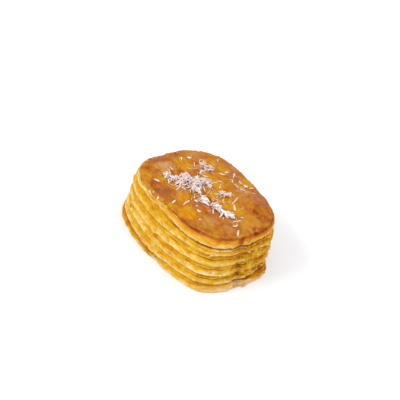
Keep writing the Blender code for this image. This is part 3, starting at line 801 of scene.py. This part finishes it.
draw = random.Random(FLAKE_SEED)
places, upwards = [], Vector((0, 0, 1))
for leaf, start, end, count in FLAKE_BANDS:
    lip = lips[leaf]
    for _ in range(count):
        angle = radians(draw.uniform(start, end))
        angle = angle if angle < pi else angle - tau
        at = min(range(len(ANGLES)), key=lambda index: abs(ANGLES[index] - angle))
        here, there = Vector(lip[at]), Vector(lip[(at + 2) % len(lip)])
        along = (there - here).normalized()
        outward = along.cross(upwards).normalized()
        heading = draw.gauss(0, 0.25) * (1 if leaf else 0.3)
        tip = along * cos(heading) + upwards * sin(heading)
        lean = draw.uniform(0, 0.6)
        face = (outward * cos(lean) + tip.cross(outward).normalized() * sin(lean)).normalized()
        side = face.cross(tip).normalized()
        axes = Matrix((tip, side, tip.cross(side))).transposed()
        length, width = draw.uniform(*FLAKE_LENGTHS), draw.uniform(*FLAKE_WIDTHS)
        up = draw.uniform(-0.5, 0.9) * MM - (RIM_FLAKES_LOWER if leaf == 6 else 0)
        spot = here - outward * FLAKE_SINK + upwards * up
        spot.z = max(spot.z, FLAKE_LOWEST)
        tone = draw.uniform(0.04, 0.40)
        places.append((tuple(spot), tuple(axes.to_euler()), (length, width, MM), tone))
flakes = scatter("peeled_flakes", places, flake_dough)
grow(flakes, peeled_flakes, {"Crust": flake_dough})
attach(flakes, "root")
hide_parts("butter_roll")


# ---- Coconut ---------------------------------------------
# Dried shreds of coconut, most of them 2 to 5 mm long, scattered over the wet glaze before baking.
# They lie heaped in the middle and in a row along the slit, and the glaze holds them to the crust.

SHRED_SEED = 33
SHRED_LENGTHS, SHRED_WIDTHS, SHRED_DEPTHS = (2.6, 5.2), (0.45, 0.80), (0.25, 0.42)  # mm
LOOSE = 180
DRIFTS = (  # x, y, half length, half width, heading, turn either way, shreds, length, width share
    (-6.2, -4, 4.8, 3.4, 15, LOOSE, 64, 0.95, 0.9), (-11, -5.6, 3.8, 3.4, 30, LOOSE, 38, 0.9, 0.75),
    (-3.2, 0.2, 4.4, 3, 35, LOOSE, 30, 0.9, 0.8), (-6, 3, 3.6, 2, 20, LOOSE, 12, 0.9, 0.72),
    (-8.8, -9.8, 4, 2.8, 0, LOOSE, 28, 0.9, 0.8), (-16, -14, 3.2, 1.6, 8, LOOSE, 28, 0.75, 1),
    (-12, -11.6, 2.6, 1.6, 20, LOOSE, 14, 0.75, 0.9), (-7, -12.8, 2.8, 1.5, 0, LOOSE, 12, 0.8, 0.9),
    (-1.6, -8.2, 3, 1.8, -30, LOOSE, 16, 0.8, 1), (-19.4, 10.6, 3.6, 3, -40, LOOSE, 17, 0.85, 0.75),
    (-13.8, 9.8, 3, 2, -40, LOOSE, 13, 0.8, 0.75), (-13.8, 5, 2.4, 1.8, 0, LOOSE, 6, 0.8, 0.7),
    (-17, 8, 6.5, 4, 60, LOOSE, 16, 0.8, 0.55), (9.9, -8.7, 2.2, 1.4, 10, 14, 24, 0.95, 1.75),
    (17.4, -5.9, 2.3, 1.3, 12, 14, 24, 0.95, 1.75), (24.6, -3, 2.2, 1.4, 16, 20, 24, 0.85, 1.7),
    (18.5, -6.6, 8, 1.4, 12, LOOSE, 12, 0.7, 0.8), (2.8, -7.3, 3.6, 0.9, -3, 40, 16, 0.9, 1),
    (8.8, 5.2, 3.6, 1.6, 65, LOOSE, 26, 0.75, 0.8), (-6, -3, 22, 13, 10, LOOSE, 50, 0.45, 0.6),
    (12, 0, 18, 12, 10, LOOSE, 26, 0.4, 0.55), (0, 18, 16, 5, 5, LOOSE, 26, 0.6, 0.6),
)
SINGLES = (  # x, y, heading, length, width: shreds that fell apart from the rest
    (20, 3.9, -28, 5, 1), (14.7, 8, -65, 6.6, 0.5), (18.7, -9.2, -35, 4.2, 0.6),
    (23.1, -6.8, -63, 4, 0.7), (15.9, -16.2, 20, 2.2, 1.2), (20.6, -18.5, 60, 1.2, 0.7),
    (6.2, -17.6, -80, 4.4, 0.7), (7.5, -12.2, 10, 2.2, 1.1), (1.9, -22.5, -58, 3.8, 0.9),
    (-4.7, -28, -40, 2.6, 0.7), (-9.9, -27.8, -30, 2.2, 0.6), (-17.5, -20.8, 10, 4.2, 1.1),
    (-23, -8, 4, 3.4, 0.6), (-30.7, 3.5, -25, 2.9, 0.7), (-29, 7.5, 40, 2.4, 1.3),
    (-22.4, 6.6, -30, 5.8, 0.5), (-21.5, 22, -35, 2.6, 0.6), (-9.2, 19.3, 70, 2.2, 1.2),
    (-8.1, 15.5, 30, 2.6, 1.2), (-5, 21.5, -48, 4.6, 0.5), (5.8, 21.6, 20, 2.6, 1.2),
    (7.5, 24.5, 88, 3.2, 0.6), (1.5, 21, -8, 3.2, 0.5), (-0.8, 17.6, -30, 2.4, 0.6),
    (28.2, 2.9, 50, 1.4, 0.6), (29.6, -1.2, 80, 5.4, 0.7), (33, -4.9, 68, 2.6, 0.6),
    (37.3, -6.1, -39, 4.4, 0.9), (14.3, 0.7, 30, 1.3, 0.6), (1.9, 7, -45, 1.8, 0.6),
    (12.5, 1.5, -60, 2.2, 0.5), (-13.5, -15.9, -20, 2.8, 0.6), (-9, -16.4, 15, 2.2, 0.5),
    (3.9, -10.9, -35, 2.2, 0.6), (11.5, -10, -20, 2.4, 0.6), (-2, 9.5, 20, 2.2, 0.5),
)
THIN, SOAKED = 0.7, 0.5  # thin scattered shreds took up more of the syrup
BROAD, CLEAN = 1.5, 0.35  # the broad ones in the row stayed white
SHRED_SPREAD = 0.58  # most of a drift lies within this share of its half sizes
PILE_CELL, PILE_LIMIT = 0.4 * MM, 1.5 * MM
STEEPEST, LOOSEST = 0.45, 0.26  # how a shred may tilt, in radians, and how much by chance
OPENING, OPENING_CLEAR = Vector((7.2, -4.6)) * MM + LID_LEAN, 2.1 * MM  # the slit gapes here

nodes, given = new_tree("coconut_shreds", {
    "Bend": 0.38, "Arch": 0.6, "Tip share": 0.55, "Rag grain": 1300, "Rag size": 0.00045})
bar, x, y, z, squared = unit_bar(nodes, 6)
outwards = nodes.times(squared, 4)
narrow = nodes.times(outwards, nodes.math("SUBTRACT", 1, given["Tip share"]))
narrow = nodes.math("SUBTRACT", 1, narrow)
rounded = nodes.math("SUBTRACT", 1, nodes.times(nodes.math("ABSOLUTE", y), 0.8))
height = nodes.times(nodes.times(z, narrow), rounded)
joined = nodes.new("GeometryNodeJoinGeometry")
for side, lift in ((1, 0.4), (-0.8, -0.5), (0.35, 1), (-0.3, 0.2)):  # four bends of shred
    aside = nodes.times(nodes.times(outwards, given["Bend"]), side)
    raised = nodes.times(nodes.times(outwards, given["Arch"]), lift, height)
    shaped = nodes.add("ShaderNodeCombineXYZ", {0: x, 1: nodes.times(y, narrow, aside), 2: raised})
    strip = nodes.add("GeometryNodeSetPosition", {"Geometry": bar, "Position": shaped})
    nodes.fill(joined, {0: nodes.add("GeometryNodeGeometryToInstance", {0: strip})})
coconut_shreds = end_tree(nodes, given, planted(nodes, given, joined.outputs[0], {
    "Pick Instance": True, "Instance Index": nodes.add("GeometryNodeInputIndex")}))

# Dried coconut is waxy white with a cool, faintly lilac shade, and a little see-through.
coconut, nodes, shader, place = new_material("coconut")
share = nodes.times(nodes.noise(place, 700, 3), 0.5, nodes.times(nodes.share("toast_and_painted_light"), 0.6))
nodes.fill(shader, {
    "Base Color": nodes.ramp(share, (
        (0.25, paint(240, 233, 236)), (0.6, paint(228, 214, 212)), (0.95, paint(222, 180, 140)))),
    "Normal": nodes.add("ShaderNodeBump", {
        "Height": nodes.noise(place, 2500, 2), "Strength": 0.3, "Distance": 0.0003}),
    "Roughness": 0.45, "Specular IOR Level": 0.35, "Subsurface Weight": 0.25,
    "Subsurface Radius": (1, 0.9, 0.85), "Subsurface Scale": 0.0008})

crust = BVHTree.FromPolygons([vertex.co.copy() for vertex in lid.data.vertices],
                             [tuple(face.vertices) for face in lid.data.polygons])
draw = random.Random(SHRED_SEED)
pile, places = {}, []  # pile: how high the heap already is in each small cell


def footing(spot):
    """The crust's height under a spot, and the heap's on it."""
    hit = crust.ray_cast(Vector((spot.x, spot.y, 0.1)), -upwards)[0]
    if hit is None or hit.z < RIM_HEIGHT * 0.85:
        return None
    return hit.z, pile.get((round(spot.x / PILE_CELL), round(spot.y / PILE_CELL)), 0)


def lay(middle, facing, length, width, depth, roll, tone):
    """Lays one shred down on what is already there, tilted as it comes to rest."""
    if (middle - OPENING).length < OPENING_CLEAR + 0.25 * length:
        return
    way = Vector((cos(facing), sin(facing)))
    side = Vector((-way.y, way.x))
    steps = (-0.42, -0.21, 0, 0.21, 0.42)
    feet = [footing(middle + way * (length * step)) for step in steps]
    if None in feet:
        return
    tops = [base + heaped for base, heaped in feet]
    pitch = atan2(max(tops[3:]) - max(tops[:2]), 0.65 * length)
    loosely = LOOSEST * smooth_step(max(heaped for _, heaped in feet) / MM)
    pitch = max(-STEEPEST, min(STEEPEST, pitch)) + max(-1.5, min(1.5, draw.gauss(0, 1))) * loosely
    rest = max(top - tan(pitch) * step * length for top, step in zip(tops, steps))
    places.append(((middle.x, middle.y, rest + depth * 0.3), (roll, -pitch, facing),
                   (length, width, depth), tone))
    for step in (tenth / 10 for tenth in range(-4, 5)):
        top = rest + tan(pitch) * step * length + depth * 0.75
        for aside in (-0.4, 0, 0.4):
            under = middle + way * (length * step) + side * (width * aside)
            hit = footing(under)
            if hit is not None:
                cell = (round(under.x / PILE_CELL), round(under.y / PILE_CELL))
                pile[cell] = max(pile.get(cell, 0), min(top - hit[0], PILE_LIMIT))


for x, y, half_length, half_width, heading, freedom, count, length_share, width_share in DRIFTS:
    turn = radians(heading)
    for _ in range(count):
        along = draw.gauss(0, SHRED_SPREAD) * half_length
        across = draw.gauss(0, SHRED_SPREAD) * half_width
        facing = turn + radians(draw.uniform(-freedom, freedom))
        length = draw.uniform(*SHRED_LENGTHS) * length_share * MM
        width, depth = draw.uniform(*SHRED_WIDTHS) * MM * width_share, draw.uniform(*SHRED_DEPTHS) * MM
        middle = Vector((x + along * cos(turn) - across * sin(turn),
                         y + along * sin(turn) + across * cos(turn))) * MM + LID_LEAN
        roll, tone = draw.gauss(0, 0.3), draw.uniform(0, 1)
        if width_share < THIN:
            tone += SOAKED
        elif width_share > BROAD:
            tone *= CLEAN
        lay(middle, facing, length, width, depth, roll, tone)
for x, y, heading, length, width in SINGLES:
    lay(Vector((x, y)) * MM + LID_LEAN, radians(heading), length * MM, width * MM,
        draw.uniform(*SHRED_DEPTHS) * MM, draw.gauss(0, 0.15), draw.uniform(0.1, 0.9))
shreds = scatter("coconut_shreds", places, coconut)
grow(shreds, coconut_shreds, {"Crust": coconut})
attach(shreds, "root")
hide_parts("butter_roll")


# ---- Studio ----------------------------------------------
# A plain pale floor, a wide soft light from the camera's left and a bright, even room. The camera
# stands where the photograph's did.

floor_material, nodes, shader, place = new_material("pale_floor")
fleck = nodes.noise(place, 6, 2)
nodes.fill(shader, {
    "Base Color": nodes.ramp(fleck, ((0.3, paint(243, 246, 250)), (0.7, paint(246, 249, 253)))),
    "Roughness": 0.9, "Specular IOR Level": 0.1})
corners = [(-3, -3, 0), (3, -3, 0), (3, 3, 0), (-3, 3, 0)]
floor = new_piece("floor", corners, [(0, 1, 2, 3)], floor_material, {})

world = bpy.data.worlds.new("bright_room")
world.use_nodes = True
Nodes(world.node_tree).fill(world.node_tree.nodes["Background"], {
    "Color": (1, 0.99, 0.98, 1), "Strength": 0.70})
bpy.context.scene.world = world
bpy.context.scene.view_settings.view_transform = "Standard"


def soft_light(name, place, size, watts, colour):
    """A square area light that looks at the roll."""
    data = bpy.data.lights.new(name, "AREA")
    data.size, data.energy, data.color = size, watts, colour
    light = new_object(name, data)
    light.location = place
    light.rotation_euler = (Vector((0, 0, 0.02)) - Vector(place)).to_track_quat("-Z", "Y").to_euler()


soft_light("window", (-0.25, -0.8, 0.75), 0.6, 6, (1, 0.98, 0.95))
soft_light("ceiling", (0.25, 0.25, 1.1), 0.8, 5, (1, 0.99, 0.98))
soft_light("side_fill", (0.9, -0.1, 0.45), 0.6, 1, (1, 0.99, 0.97))

# The camera, fitted to the roll's outline.
AZIMUTH, ELEVATION, ROLL = radians(51.442), radians(38), radians(8)
DISTANCE, ASIDE, BELOW = 525 * MM, -5.173 * MM, -19.915 * MM
level_right = Vector((cos(AZIMUTH), sin(AZIMUTH), 0))
back = Vector((sin(AZIMUTH) * cos(ELEVATION), -cos(AZIMUTH) * cos(ELEVATION), sin(ELEVATION)))
level_up = back.cross(level_right)
right = level_right * cos(ROLL) + level_up * sin(ROLL)
up = level_up * cos(ROLL) - level_right * sin(ROLL)
pose = Matrix((right, up, back)).transposed().to_4x4()
pose.translation = back * DISTANCE - right * ASIDE - up * BELOW
camera_data = bpy.data.cameras.new("camera")
camera_data.lens, camera_data.sensor_width, camera_data.sensor_fit = 85, 36, "HORIZONTAL"
camera = new_object("camera", camera_data)
camera.matrix_world = pose
bpy.context.scene.camera = camera
